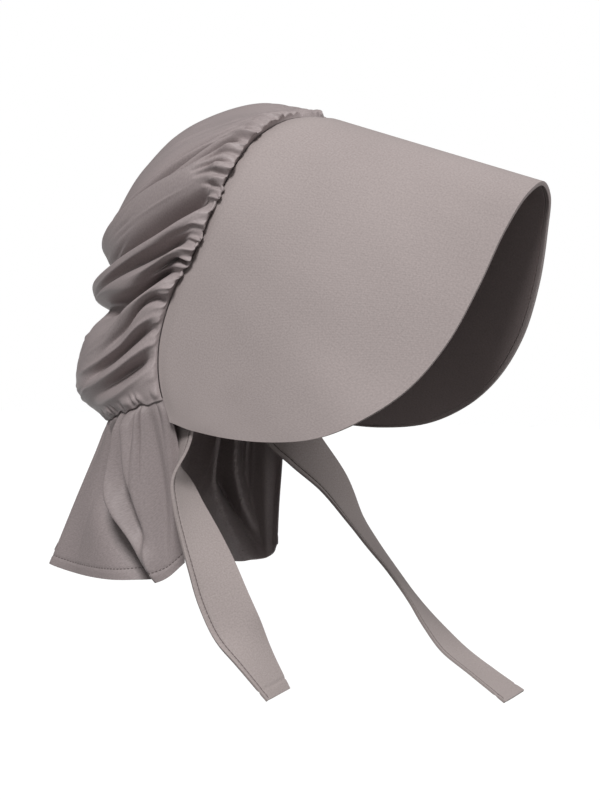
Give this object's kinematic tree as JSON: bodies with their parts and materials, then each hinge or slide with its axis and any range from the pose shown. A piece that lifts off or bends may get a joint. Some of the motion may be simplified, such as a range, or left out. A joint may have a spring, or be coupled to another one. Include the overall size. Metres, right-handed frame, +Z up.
{
  "type": "sunbonnet",
  "caption": "Cloth sunbonnet with a deep stiff scoop brim, a gathered crown that swags to the nape, a neck frill and two ties.",
  "frame": {"origin": "where the top of the wearer's head meets the inside of the crown", "axes": "+Z up the wearer's head, -Y the way the wearer faces, +X the wearer's left"},
  "size_m": [0.1978, 0.3338, 0.3806],
  "materials": {
    "brim_cloth": "matt taupe twill over a stiffener",
    "lining_cloth": "matt taupe twill",
    "crown_cloth": "soft taupe twill with a slight sheen, gathered",
    "frill_cloth": "soft taupe twill with a slight sheen",
    "tie_cloth": "taupe twill, doubled and edge stitched"
  },
  "bodies": {
    "root": {"brim_cover": "brim_cloth", "brim_lining": "lining_cloth", "crown": "crown_cloth", "nape_frill": "frill_cloth", "tie_right": "tie_cloth", "tie_left": "tie_cloth"}
  },
  "joints": []
}
